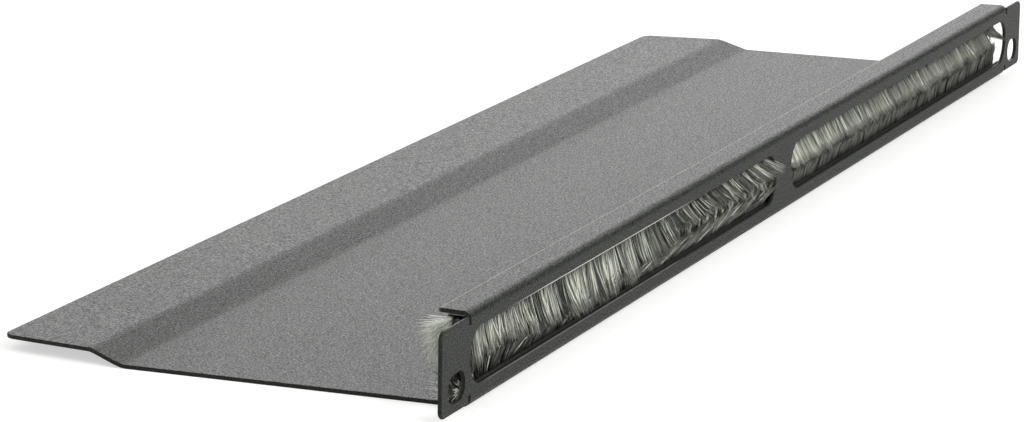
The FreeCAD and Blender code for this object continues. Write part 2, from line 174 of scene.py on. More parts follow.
@dataclass(frozen=True)
class PowderCoat:
    """Baked polyester powder on steel, sprayed to a fine wrinkle.

    The wrinkle breaks the sheen into a sandy grain. Seen at a low angle the coat pales, because it
    mirrors what lies behind it. Along the edges of the left window and of the flange, thin pale lines
    are painted highlights where those edges catch the light.
    """

    dark: str = "171917"
    pale: str = "31342f"
    grain_mm: float = 0.5
    grain_height_mm: float = 0.1
    grain_detail: float = 3.0
    grain_roughness: float = 0.65
    speck_from: float = 0.34
    speck_to: float = 0.66
    dull_roughness: float = 0.66
    bright_roughness: float = 0.32
    ior: float = 1.22
    edge_highlights: tuple[EdgeHighlight, ...] = (
        # painted highlights along the left window's top edge, its sill and the flange's rear edge, where
        # they catch the light
        EdgeHighlight("c4c5c0", Axis.HEIGHT, 11.36, -137.0, 66.0),
        EdgeHighlight("62635e", Axis.HEIGHT, -2.33, -150.0, 69.0, fade=0.9),
        EdgeHighlight("5f605a", Axis.DEPTH, 8.0, 0.0, 230.0, half=0.2, fade=0.98, above=14.0),
    )

    def material(self) -> bpy.types.Material:
        """Build the coat's material.

        Returns:
            The new material.
        """
        material, tree = blank_material("textured_powder_coat")
        place = add_node(tree, "ShaderNodeTexCoord").outputs["Object"]
        grain = add_node(
            tree, "ShaderNodeTexNoise",
            {
                "Scale": per_metre(self.grain_mm),
                "Detail": self.grain_detail,
                "Roughness": self.grain_roughness,
            },
            {"Vector": place},
        ).outputs["Fac"]
        speck = add_node(
            tree, "ShaderNodeMapRange", {"From Min": self.speck_from, "From Max": self.speck_to},
            {"Value": grain},
        ).outputs["Result"]
        colour = add_node(
            tree, "ShaderNodeMix", {MIX_FIRST: linear(self.dark), MIX_SECOND: linear(self.pale)},
            {MIX_SHARE: speck}, data_type="RGBA",
        ).outputs[MIX_COLOUR]
        for highlight in self.edge_highlights:
            colour = self.edge_highlight_colour(tree, highlight, place, colour)
        roughness = add_node(
            tree, "ShaderNodeMapRange", {"To Min": self.dull_roughness, "To Max": self.bright_roughness},
            {"Value": speck},
        ).outputs["Result"]
        bump = add_node(
            tree, "ShaderNodeBump", {"Strength": 1.0, "Distance": self.grain_height_mm * MM},
            {"Height": grain},
        ).outputs["Normal"]
        shader = add_node(
            tree, "ShaderNodeBsdfPrincipled", {"IOR": self.ior},
            {"Base Color": colour, "Roughness": roughness, "Normal": bump},
        )
        add_node(tree, "ShaderNodeOutputMaterial", links={"Surface": shader.outputs[0]})
        return material

    def edge_highlight_colour(
        self,
        tree: bpy.types.NodeTree,
        highlight: EdgeHighlight,
        place: bpy.types.NodeSocket,
        coat: bpy.types.NodeSocket,
    ) -> bpy.types.NodeSocket:
        """Lay a painted edge highlight over the coat's colour.

        Args:
            tree: The coat's node tree.
            highlight: The line of painted highlight.
            place: The socket of the place on the object.
            coat: The socket of the colour so far.

        Returns:
            The socket of the colour with the line.
        """
        spot = add_node(tree, "ShaderNodeSeparateXYZ", links={0: place}).outputs
        edge = add_node(
            tree, "ShaderNodeMath", {1: highlight.place * MM, 2: highlight.half * MM}, {0: spot[highlight.axis.value]},
            operation="COMPARE",
        ).outputs[0]
        high = add_node(
            tree, "ShaderNodeMath", {1: highlight.above * MM}, {0: spot["Z"]}, operation="GREATER_THAN"
        ).outputs[0]
        edge = add_node(tree, "ShaderNodeMath", links={0: edge, 1: high}, operation="MULTIPLY").outputs[0]
        away = add_node(
            tree, "ShaderNodeMath", {1: highlight.middle * MM}, {0: spot["X"]}, operation="SUBTRACT"
        ).outputs[0]
        away = add_node(tree, "ShaderNodeMath", links={0: away}, operation="ABSOLUTE").outputs[0]
        # the share of painted highlight: full near the line's middle, fading towards its ends
        bare = add_node(
            tree, "ShaderNodeMapRange",
            {"From Min": highlight.reach * MM, "From Max": highlight.reach * highlight.fade * MM},
            {"Value": away, "To Max": edge},
        ).outputs["Result"]
        return add_node(
            tree, "ShaderNodeMix", {MIX_SECOND: linear(highlight.colour)}, {MIX_SHARE: bare, MIX_FIRST: coat},
            data_type="RGBA",
        ).outputs[MIX_COLOUR]


@dataclass(frozen=True)
class RolledSteel:
    """Black zinc-plated strip or drawn wire: steel with fine lines along its length.

    The lines draw the sheen out along the piece.
    """

    name: str
    dark: str
    pale: str
    line_mm: float = 0.12
    line_length_mm: float = 14.0
    line_detail: float = 2.0
    roughness: float = 0.36
    roughness_spread: float = 0.1

    def material(self) -> bpy.types.Material:
        """Build the steel's material.

        Returns:
            The new material.
        """
        material, tree = blank_material(self.name)
        place = add_node(tree, "ShaderNodeTexCoord").outputs["Object"]
        stretched = add_node(
            tree, "ShaderNodeMapping", {"Scale": (self.line_mm / self.line_length_mm, 1.0, 1.0)},
            {"Vector": place},
        ).outputs["Vector"]
        lines = add_node(
            tree, "ShaderNodeTexNoise", {"Scale": per_metre(self.line_mm), "Detail": self.line_detail},
            {"Vector": stretched},
        ).outputs["Fac"]
        smooth, rough = self.roughness - self.roughness_spread, self.roughness + self.roughness_spread
        roughness = add_node(
            tree, "ShaderNodeMapRange", {"To Min": smooth, "To Max": rough}, {"Value": lines}
        ).outputs["Result"]
        colour = add_node(
            tree, "ShaderNodeMix", {MIX_FIRST: linear(self.dark), MIX_SECOND: linear(self.pale)},
            {MIX_SHARE: lines}, data_type="RGBA",
        ).outputs[MIX_COLOUR]
        shader = add_node(
            tree, "ShaderNodeBsdfPrincipled", {"Metallic": 1.0},
            {"Base Color": colour, "Roughness": roughness},
        )
        add_node(tree, "ShaderNodeOutputMaterial", links={"Surface": shader.outputs[0]})
        return material


@dataclass(frozen=True)
class NylonHair:
    """Fine drawn nylon monofilament, pale grey-green.

    Each hair has a shade of its own, and hairs darken towards their roots, where little light reaches.
    """

    dull: str = "1e2219"
    bright: str = "f3f6e8"
    roughness: float = 0.42
    ior: float = 1.53

    def material(self) -> bpy.types.Material:
        """Build the hairs' material.

        Returns:
            The new material.
        """
        material, tree = blank_material("nylon_monofilament")
        shade = add_node(tree, "ShaderNodeAttribute", attribute_name=HairField.SHADE).outputs["Fac"]
        colour = add_node(
            tree, "ShaderNodeMix", {MIX_FIRST: linear(self.dull), MIX_SECOND: linear(self.bright)},
            {MIX_SHARE: shade}, data_type="RGBA",
        ).outputs[MIX_COLOUR]
        shader = add_node(
            tree, "ShaderNodeBsdfPrincipled", {"Roughness": self.roughness, "IOR": self.ior},
            {"Base Color": colour},
        )
        add_node(tree, "ShaderNodeOutputMaterial", links={"Surface": shader.outputs[0]})
        return material


@dataclass
class HairSpines:
    """The middle lines of many hairs: straight in the channel, then bent by a growing lean.

    Each array has a row for every hair. Places are in millimetres; shades run from 0, dull, to 1, bright.
    """

    root: np.ndarray
    mouth: np.ndarray
    lean: np.ndarray
    curl: np.ndarray
    radius: np.ndarray
    shade: np.ndarray
    lit_from: np.ndarray
    lit_to: np.ndarray
    tip_shade: np.ndarray

    MOUTH_SHARE = 0.24
    ROOT_SHADE = 0.05

    def points(self, along: np.ndarray) -> np.ndarray:
        """Points on every spine.

        Args:
            along: Shares of a hair's length, from root to tip.

        Returns:
            An array of hairs by shares by three, in millimetres.
        """
        held = np.clip(along / self.MOUTH_SHARE, 0.0, 1.0)[None, :, None]
        free = self.free_share(along)[None, :, None]
        straight = self.root[:, None, :] * (1.0 - held) + self.mouth[:, None, :] * held
        curl = self.curl[:, None, None]
        bend = free * (1.0 - curl) + free ** 2 * curl
        sideways = np.array([1.0, 1.0, 0.0])
        return straight + self.lean[:, None, :] * (sideways * bend + (1.0 - sideways) * free)

    def shades(self, along: np.ndarray) -> np.ndarray:
        """Shades on every spine.

        They grow between its lit shares from little to the hair's own shade, a painted shade at the roots,
        and over its outer half fall towards the tip, a painted shadow where other hairs overhang it.

        Args:
            along: Shares of a hair's length, from root to tip.

        Returns:
            An array of hairs by shares.
        """
        free = self.free_share(along)[None, :]
        lit = np.clip((free - self.lit_from[:, None]) / (self.lit_to - self.lit_from)[:, None], 0.0, 1.0)
        overhung = np.clip(2.0 * free - 1.0, 0.0, 1.0) * (1.0 - self.tip_shade[:, None])
        return self.shade[:, None] * (self.ROOT_SHADE * (1.0 - lit) + lit) * (1.0 - overhung)

    def free_share(self, along: np.ndarray) -> np.ndarray:
        """Shares of the length outside the channel, for shares of the whole length."""
        return np.clip((along - self.MOUTH_SHARE) / (1.0 - self.MOUTH_SHARE), 0.0, 1.0)

    def joined(self, other: "HairSpines") -> "HairSpines":
        """Join these spines and other ones.

        Args:
            other: The other spines.

        Returns:
            Both as one set.
        """
        return HairSpines(*(
            np.concatenate([getattr(self, item.name), getattr(other, item.name)]) for item in fields(self)
        ))


class HairField:
    """Copies of one bmesh hair, bent to paths and joined in one mesh.

    A hair runs from its root, inside a channel, to a pointed tip. Its rings are at fixed shares of its
    length, the first at the channel's mouth.
    """

    SHADE = "hair_shade"
    SIDES = 3
    RINGS = (HairSpines.MOUTH_SHARE, 0.5, 0.76)
    TIP_FROM = 0.99
    LOCK = 100

    def __init__(self) -> None:
        """Model the one straight hair that every field copies, and a lock of them to copy faster."""
        hair = bmesh.new()
        bmesh.ops.create_cone(
            hair, cap_ends=True, segments=self.SIDES, radius1=1.0, radius2=0.0, depth=1.0
        )
        bmesh.ops.translate(hair, verts=hair.verts, vec=(0.0, 0.0, 0.5))
        for share in self.RINGS:
            bmesh.ops.bisect_plane(
                hair, geom=hair.verts[:] + hair.edges[:] + hair.faces[:],
                plane_co=(0.0, 0.0, share), plane_no=(0.0, 0.0, 1.0),
            )
        for vert in hair.verts:
            if vert.co.z < self.TIP_FROM:
                vert.co.xy = vert.co.xy.normalized()
        bmesh.ops.recalc_face_normals(hair, faces=hair.faces)
        self.single = bpy.data.meshes.new("single_hair")
        hair.to_mesh(self.single)
        hair.free()
        self.corners = np.array([vert.co for vert in self.single.vertices])
        lock = bmesh.new()
        for _ in range(self.LOCK):
            lock.from_mesh(self.single)
        self.lock = bpy.data.meshes.new("hair_lock")
        lock.to_mesh(self.lock)
        lock.free()

    def copies(self, count: int) -> bpy.types.Mesh:
        """Copy the straight hair, with all the copies in one place.

        Args:
            count: How many hairs.

        Returns:
            A mesh of that many hairs.
        """
        whole = bmesh.new()
        for _ in range(count // self.LOCK):
            whole.from_mesh(self.lock)
        for _ in range(count % self.LOCK):
            whole.from_mesh(self.single)
        mesh = bpy.data.meshes.new("hairs")
        whole.to_mesh(mesh)
        whole.free()
        return mesh

    def build(self, name: str, spines: HairSpines) -> bpy.types.Object:
        """Bend one hair to each spine.

        Args:
            name: The new object's name.
            spines: Where the hairs run, in millimetres.

        Returns:
            The object that holds all the hairs.
        """
        mesh = self.copies(len(spines.radius))
        along = self.corners[:, 2]
        places = spines.points(along)
        across = spines.radius[:, None] * np.where(along > self.TIP_FROM, 0.0, 1.0)[None, :]
        places[:, :, 0] += across * self.corners[None, :, 0]
        places[:, :, 1] += across * self.corners[None, :, 1]
        mesh.vertices.foreach_set("co", (places * MM).ravel())
        shades = mesh.attributes.new(self.SHADE, "FLOAT", "POINT")
        shades.data.foreach_set("value", spines.shades(along).ravel())
        mesh.polygons.foreach_set("use_smooth", np.ones(len(mesh.polygons), dtype=bool))
        mesh.update()
        piece = bpy.data.objects.new(name, mesh)
        bpy.context.scene.collection.objects.link(piece)
        return piece


class Row(Enum):
    """The two rows of brush, by the way their hairs point."""

    UPPER = -1
    LOWER = 1


class Side(Enum):
    """The two strips of a row, by the way to their outer ends."""

    LEFT = -1
    RIGHT = 1


@dataclass(frozen=True)
class Station:
    """How the hairs lie at one share of a strip's length.

    Reach, along and front place the tips, in millimetres from the hairs' mouths. Shade scales the
    hairs' shades there, and its low values are painted shade. Strands is the share of the hairs that lie
    in front and catch the light.
    """

    share: float
    reach: float
    along: float
    front: float
    shade: float
    strands: float = 0.0


@dataclass(frozen=True)
class EndFan:
    """Loose hairs that spread from a strip's open end, with the ranges of their leans in millimetres.

    A share of them, the stray ones, are as pale as hairs get. Their shades grow between the lit shares of
    their length, so hairs that are lit from a share below zero are pale from their roots. Hairs that drop
    far spread back less, by the narrowing.
    """

    hairs: int
    across: tuple[float, float]
    outward: tuple[float, float]
    back: tuple[float, float]
    reach: tuple[float, float]
    shade: tuple[float, float]
    stray: float = 0.1
    lit: tuple[float, float] = (0.0, 0.5)
    narrowing: float = 0.6
    held_length: float = 3.0
    inset: float = 0.1
    rise: float = 0.3
    curl: tuple[float, float] = (-0.3, 0.3)
    thickness: tuple[float, float] = (0.75, 1.2)


@dataclass(frozen=True)
class Wisp:
    """A stretch of a strip whose hairs all run to one point, given in millimetres in the CAD's frame.

    Length is the range of shares of the way to that point at which the hairs end, and shading the range
    of their shares of the wisp's shade.
    """

    from_share: float
    to_share: float
    tip: tuple[float, float, float]
    shade: float = 0.25
    scatter: float = 0.3
    length: tuple[float, float] = (0.7, 1.0)
    shading: tuple[float, float] = (0.5, 1.5)
    curl: tuple[float, float] = (0.8, 1.5)

    def pull(self, hairs: HairSpines, taken: np.ndarray, draw: np.random.Generator) -> None:
        """Turn some hairs towards the wisp's point.

        Args:
            hairs: The row's hairs, which are changed.
            taken: Which of them the wisp takes.
            draw: The strip's random numbers.
        """
        count = len(taken)
        aim = np.array(self.tip) + draw.normal(0.0, self.scatter, (count, 3)) - hairs.mouth
        aim = aim * draw.uniform(*self.length, count)[:, None]
        hairs.lean = np.where(taken[:, None], aim, hairs.lean)
        hairs.shade = np.where(taken, self.shade * draw.uniform(*self.shading, count), hairs.shade)
        hairs.curl = np.where(taken, draw.uniform(*self.curl, count), hairs.curl)


@dataclass(frozen=True)
class Stray:
    """How far tufts, locks and single hairs stray from where the stations put them.

    Lengths are millimetres, apart from the shares that comments name. A beta pair below one puts most
    shades near one end of their range or the other.
    """

    tuft_place: float = 0.6
    tuft_shade: float = 0.1
    # a share of the tufts' pitch
    lock_place: float = 0.55
    lock_along: float = 0.35
    lock_front: float = 0.3
    lock_shade: float = 0.3
    lock_beta: tuple[float, float] = (0.7, 0.8)
    # shares of a lock's half width
    hair_aside: float = 0.6
    hair_deep: float = 0.4
    hair_tip: float = 0.15
    hair_scatter: float = 0.25
    strand_scatter: float = 0.9
    hair_shade: float = 0.62
    hair_beta: tuple[float, float] = (0.5, 0.6)
    # shares of the strip's own reach spread
    lock_reach: float = 1.1
    hair_reach: float = 0.67
    # ranges of shares: of the strip's radius for a hair, and of a hair's lean that comes late in its length
    thickness: tuple[float, float] = (0.75, 1.3)
    curl: tuple[float, float] = (0.0, 0.8)


@dataclass
class Tufts:
    """The tufts of a row: where each is rooted and how its locks differ from the stations.

    Lengths are millimetres, apart from reach, which is a share of the strip's reach spread.
    """

    place: np.ndarray
    along: np.ndarray
    front: np.ndarray
    reach: np.ndarray
    shade: np.ndarray


@dataclass
class Locks:
    """The locks of a row: the tuft of each, where it is rooted and where its tip lies from there.

    Lengths are millimetres. Depth runs from -1 at the channel's front to 1 at its back. Back is 0 for the
    front half and grows to 1, and bent is how much of the stations' lean is left there.
    """

    tuft: np.ndarray
    place: np.ndarray
    depth: np.ndarray
    share: np.ndarray
    back: np.ndarray
    bent: np.ndarray
    along: np.ndarray
    front: np.ndarray
    reach: np.ndarray
    shade: np.ndarray

    BACK_FROM = 0.5


@dataclass
class BrushStrip:
    """One strip: a crimped channel and core wire from the CAD, with hairs in place of the plain bristles.

    The hairs gather in pointed locks, and the locks in tufts. Those at the back of the channel stand
    nearly straight and close most of the window. The hairs are drawn thicker than real ones, so that
    single ones show. Lengths are millimetres.
    """

    row: Row
    side: Side
    seed: int
    stations: tuple[Station, ...]
    fans: tuple[EndFan, ...]
    lit: tuple[float, float]
    partings: tuple[float, ...] = ()
    wisps: tuple[Wisp, ...] = ()
    bare_end: float = 0.0

    # tufts and locks
    hairs: int = 7900
    tuft_pitch: float = 3.4
    locks_in_tuft: int = 24
    lock_half: float = 0.34
    lock_margin: float = 0.3
    hair_margin: float = 0.15
    pinch: float = 0.75
    gather: float = 0.35
    parting_half: float = 1.8
    parting_dim: float = 0.5

    # spreads that differ between strips, and those that don't
    comb_spread: float = 0.6
    lean_spread: float = 0.45
    shade_spread: float = 1.0
    reach_spread: float = 0.45
    stray: Stray = Stray()

    # shades, with painted shade that falls towards the channel's back and, by the tip shade, towards tips
    # that other hairs overhang
    base_shade: float = 0.12
    depth_dim: float = 0.18
    tip_shade: float = 1.0

    # hairs at the channel's back
    back_slope: float = 1.5
    back_reach: float = 8.8
    back_lean: float = 0.15
    # painted shade on the hairs at the channel's back, behind those in front
    back_dim: float = 0.0
    back_scatter: float = 0.75

    # pale strands at the channel's front
    strand_depth: tuple[float, float] = (0.5, 1.0)
    strand_lit: float = 0.2
    strand_shade: tuple[float, float] = (0.85, 1.0)
    strand_least_shade: float = 0.03

    # sizes of the hairs, and what is around them
    least_reach: float = 1.0
    hair_radius: float = 0.13
    strand_radius: float = 0.2
    held_depth: float = 2.5
    mouth_half: float = 1.45
    root_half: float = 1.9
    sheet_back: float = 1.25
    window_inner: float = 6.9
    window_outer: float = 223.9

    @property
    def name(self) -> str:
        """The strip's name, as its CAD nodes start."""
        return f"{self.side.name.lower()}_{self.row.name.lower()}"

    def held_box(self) -> tuple[Vector, Vector]:
        """Find the part of the channel that holds hairs, without its bare end.

        Returns:
            Its low and high corners.
        """
        low, high = (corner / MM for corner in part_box(f"{self.name}_brush_channel"))
        if self.side is Side.LEFT:
            low.x += self.bare_end
        else:
            high.x -= self.bare_end
        return low, high

    def mouth_height(self) -> float:
        """The height of the channel's mouth."""
        low, high = self.held_box()
        return low.z if self.row is Row.UPPER else high.z

    def at_stations(self, share: np.ndarray, what: str) -> np.ndarray:
        """One of the stations' values, read at shares of the strip."""
        shares = [station.share for station in self.stations]
        return np.interp(share, shares, [getattr(station, what) for station in self.stations])

    def behind_sheet(self, place: np.ndarray, along: np.ndarray) -> np.ndarray:
        """Whether each hair meets the web or the panel's end instead of the window."""
        halfway = np.abs(place + 0.5 * along)
        return (halfway < self.window_inner) | (halfway > self.window_outer)

    def lay_tufts(self, draw: np.random.Generator) -> Tufts:
        """Root tufts along the strip, with painted shade at its partings, where the eye looks into deep
        hair.

        Args:
            draw: The strip's random numbers.

        Returns:
            The row's tufts.
        """
        low, high = self.held_box()
        span = high.x - low.x
        count = round(span / self.tuft_pitch)
        middles = low.x + (np.arange(count) + 0.5) * span / count
        tufts = Tufts(
            place=middles + draw.normal(0.0, self.stray.tuft_place, count),
            along=draw.normal(0.0, self.comb_spread, count),
            front=draw.normal(0.0, self.lean_spread, count),
            reach=draw.normal(0.0, 1.0, count),
            shade=draw.normal(0.0, self.stray.tuft_shade, count),
        )
        for parting in self.partings:
            parted = np.abs(tufts.place - low.x - parting * span) < self.parting_half
            tufts.shade -= self.parting_dim * parted
        return tufts

    def lay_locks(self, tufts: Tufts, draw: np.random.Generator) -> Locks:
        """Root locks around the tufts' middles and lean them with their tufts.

        Args:
            tufts: The row's tufts.
            draw: The strip's random numbers.

        Returns:
            The row's locks.
        """
        low, high = self.held_box()
        stray = self.stray
        tuft = np.repeat(np.arange(len(tufts.place)), self.locks_in_tuft)
        count = len(tuft)
        around = draw.uniform(-stray.lock_place, stray.lock_place, count) * self.tuft_pitch
        place = np.clip(tufts.place[tuft] + around, low.x + self.lock_margin, high.x - self.lock_margin)
        depth = draw.uniform(-1.0, 1.0, count)
        share = (place - low.x) / (high.x - low.x)
        back = np.clip(depth * self.back_slope, 0.0, 1.0)
        bent = 1.0 - (1.0 - self.back_lean) * back
        along = self.at_stations(share, "along") + tufts.along[tuft]
        along = along + self.gather * (tufts.place[tuft] - place)
        along = bent * along + draw.normal(0.0, stray.lock_along, count)
        front = bent * (self.at_stations(share, "front") + tufts.front[tuft])
        front = front + draw.normal(0.0, stray.lock_front, count)
        reach = self.at_stations(share, "reach")
        reach = np.where(back > Locks.BACK_FROM, np.maximum(reach, self.back_reach), reach)
        uneven = tufts.reach[tuft] + draw.normal(0.0, stray.lock_reach, count)
        reach = reach + self.reach_spread * uneven
        shade = self.base_shade + stray.lock_shade * draw.beta(*stray.lock_beta, count)
        shade = shade + tufts.shade[tuft] - self.depth_dim * (depth + 1.0)
        return Locks(tuft, place, depth, share, back, bent, along, front, reach, shade)

    def row_shades(
        self, tufts: Tufts, locks: Locks, lock: np.ndarray, strand: np.ndarray, draw: np.random.Generator
    ) -> np.ndarray:
        """Shade the row's hairs one by one.

        Args:
            tufts: The row's tufts.
            locks: The row's locks.
            lock: Each hair's lock.
            strand: Which hairs are pale strands.
            draw: The strip's random numbers.

        Returns:
            The hairs' own shades.
        """
        count = len(lock)
        shade = locks.shade[lock] + self.stray.hair_shade * draw.beta(*self.stray.hair_beta, count)
        shade = np.clip(shade.mean() + self.shade_spread * (shade - shade.mean()), 0.0, 1.0)
        parted = np.minimum(tufts.shade[locks.tuft[lock]], 0.0)
        glint = np.clip(draw.uniform(*self.strand_shade, count) + parted, self.strand_least_shade, 1.0)
        # painted shade: the stations' level, darker still on the hairs at the channel's back
        level = self.at_stations(locks.share, "shade")[lock] * (1.0 - self.back_dim * locks.back[lock])
        return np.minimum(np.where(strand, glint, shade * level), 1.0)

    def row_spines(self, draw: np.random.Generator) -> HairSpines:
        """Lay out the row's hairs, in locks and tufts that lean together.

        Args:
            draw: The strip's random numbers.

        Returns:
            The spines of the row's hairs.
        """
        low, high = self.held_box()
        way = float(self.row.value)
        stray = self.stray
        count = self.hairs
        tufts = self.lay_tufts(draw)
        locks = self.lay_locks(tufts, draw)

        lock = np.arange(count) % len(locks.place)
        back = locks.back[lock]
        strand = draw.uniform(0.0, 1.0, count) < self.at_stations(locks.share, "strands")[lock]
        aside = draw.normal(0.0, stray.hair_aside, count) * self.lock_half
        deep = draw.normal(0.0, stray.hair_deep, count) * self.lock_half
        place = np.clip(locks.place[lock] + aside, low.x + self.hair_margin, high.x - self.hair_margin)
        depth = np.clip(locks.depth[lock] * self.mouth_half + deep, -self.mouth_half, self.mouth_half)
        depth = np.where(strand, -self.mouth_half * draw.uniform(*self.strand_depth, count), depth)
        height = np.full(count, self.mouth_height())
        mouth = np.stack([place, (low.y + high.y) / 2 + depth, height], axis=1)
        widened = depth * (self.root_half / self.mouth_half - 1.0)
        sunk = np.full(count, -way * self.held_depth)
        root = mouth + np.stack([np.zeros(count), widened, sunk], axis=1)

        pinched = self.pinch * locks.bent[lock] * aside
        along = locks.along[lock] - pinched + draw.normal(0.0, stray.hair_tip, count)
        scatter = stray.hair_scatter + (self.back_scatter - stray.hair_scatter) * back
        along = along + np.where(strand, stray.strand_scatter, scatter) * draw.normal(0.0, 1.0, count)
        front = locks.front[lock] - self.pinch * deep + draw.normal(0.0, stray.hair_tip, count)
        clear = np.maximum(front, self.sheet_back - mouth[:, 1])
        front = np.where(self.behind_sheet(place, along), clear, front)
        reach = locks.reach[lock] + self.reach_spread * draw.normal(0.0, stray.hair_reach, count)
        reach = np.maximum(reach, self.least_reach)

        shade = self.row_shades(tufts, locks, lock, strand, draw)
        radius = np.where(strand, self.strand_radius, self.hair_radius)
        radius = radius * draw.uniform(*stray.thickness, count)
        hairs = HairSpines(
            root=root,
            mouth=mouth,
            lean=np.stack([along, front, way * reach], axis=1),
            curl=draw.uniform(*stray.curl, count),
            radius=radius,
            shade=shade,
            lit_from=np.full(count, self.lit[0]),
            lit_to=np.where(strand, self.lit[0] + self.strand_lit, self.lit[1]),
            tip_shade=np.full(count, self.tip_shade),
        )
        share = (place - low.x) / (high.x - low.x)
        for wisp in self.wisps:
            taken = (share > wisp.from_share) & (share < wisp.to_share) & (back < Locks.BACK_FROM)
            wisp.pull(hairs, taken, draw)
        return hairs

    def fan_spines(self, fan: EndFan, draw: np.random.Generator) -> HairSpines:
        """Lay out the loose hairs of one fan at the strip's outer end.

        Args:
            fan: The fan to lay out.
            draw: The strip's random numbers.

        Returns:
            The spines of the loose hairs.
        """
        low, high = self.held_box()
        way = float(self.row.value)
        out = float(self.side.value)
        count = fan.hairs
        end = low.x if self.side is Side.LEFT else high.x
        height = self.mouth_height() - way * draw.uniform(-fan.rise, self.held_depth, count)
        across = (low.y + high.y) / 2 + draw.uniform(*fan.across, count) * self.mouth_half
        mouth = np.stack([np.full(count, end - fan.inset * out), across, height], axis=1)
        drop = draw.uniform(0.0, 1.0, count)
        spread = draw.uniform(0.0, 1.0, count) * (1.0 - fan.narrowing * drop)
        lean = np.stack([
            out * np.interp(draw.uniform(0.0, 1.0, count), (0.0, 1.0), fan.outward),
            np.interp(spread, (0.0, 1.0), fan.back),
            way * np.interp(drop, (0.0, 1.0), fan.reach),
        ], axis=1)
        curl = draw.uniform(*fan.curl, count)
        radius = self.hair_radius * draw.uniform(*fan.thickness, count)
        palest = draw.uniform(0.0, 1.0, count) < fan.stray
        return HairSpines(
            root=mouth - np.array([fan.held_length * out, 0.0, 0.0]),
            mouth=mouth,
            lean=lean,
            curl=curl,
            radius=radius,
            shade=np.where(palest, 1.0, draw.uniform(*fan.shade, count)),
            lit_from=np.full(count, fan.lit[0]),
            lit_to=np.full(count, fan.lit[1]),
            tip_shade=np.ones(count),
        )

    def spines(self) -> HairSpines:
        """Lay out all the strip's hairs.

        Returns:
            The spines of its row and of its fans.
        """
        draw = np.random.default_rng(self.seed)
        whole = self.row_spines(draw)
        for fan in self.fans:
            whole = whole.joined(self.fan_spines(fan, draw))
        return whole

    def build(self, field: HairField) -> bpy.types.Object:
        """Model the strip's hairs and set them in place of its plain bristles.

        Args:
            field: What copies and bends the hairs.

        Returns:
            The object that holds the hairs.
        """
        hairs = field.build(f"{self.name}_hairs", self.spines())
        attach(hairs, ROOT_BODY)
        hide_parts(f"{self.name}_bristles")
        return hairs

    def dress(
        self,
        hairs: bpy.types.Object,
        nylon: bpy.types.Material,
        strip: bpy.types.Material,
        wire: bpy.types.Material,
    ) -> None:
        """Give the strip's three pieces their finishes.

        Args:
            hairs: The object that holds the hairs.
            nylon: The hairs' material.
            strip: The channel's material.
            wire: The core wire's material.
        """
        paint(hairs, nylon)
        paint(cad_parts[f"{self.name}_brush_channel"], strip)
        paint(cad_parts[f"{self.name}_core_wire"], wire)


@dataclass
class PhotoCamera:
    """A camera that looks along the rack's width from the left and a little above.

    The place is in millimetres, the angles are in degrees, the focal length is in image pixels, and the
    far end of what it sees is in metres.
    """

    place: tuple[float, float, float] = (-1111.5, -355.1, 247.3)
    azimuth: float = 21.293
    elevation: float = 12.33
    roll: float = 0.822
    focal_pixels: float = 4435.2
    far: float = 20.0

    def build(self) -> bpy.types.Object:
        """Add the camera and make it the scene's.

        Returns:
            The camera.
        """
        data = bpy.data.cameras.new("studio_camera")
        data.sensor_width = SENSOR_WIDTH
        data.lens = self.focal_pixels / IMAGE_WIDTH * SENSOR_WIDTH
        data.clip_end = self.far
        camera = bpy.data.objects.new("studio_camera", data)
        turn = (
            Matrix.Rotation(math.radians(self.azimuth - 90.0), 4, "Z")
            @ Matrix.Rotation(math.radians(90.0 - self.elevation), 4, "X")
            @ Matrix.Rotation(math.radians(self.roll), 4, "Z")
        )
        camera.matrix_world = Matrix.Translation(Vector(self.place) * MM) @ turn
        bpy.context.scene.collection.objects.link(camera)
        bpy.context.scene.camera = camera
        return camera


@dataclass(frozen=True)
class Softbox:
    """A soft rectangular lamp that faces the tray. Lengths are metres; radiance 1 shows as white."""

    name: str
    place: tuple[float, float, float]
    width: float
    height: float
    radiance: float

    def build(self) -> bpy.types.Object:
        """Add the lamp.

        Returns:
            The lamp.
        """
        data = bpy.data.lights.new(self.name, "AREA")
        data.shape = "RECTANGLE"
        data.size = self.width
        data.size_y = self.height
        data.energy = self.radiance * math.pi * self.width * self.height
        lamp = bpy.data.objects.new(self.name, data)
        facing = Vector(self.place).to_track_quat("Z", "Y").to_matrix().to_4x4()
        lamp.matrix_world = Matrix.Translation(self.place) @ facing
        bpy.context.scene.collection.objects.link(lamp)
        return lamp


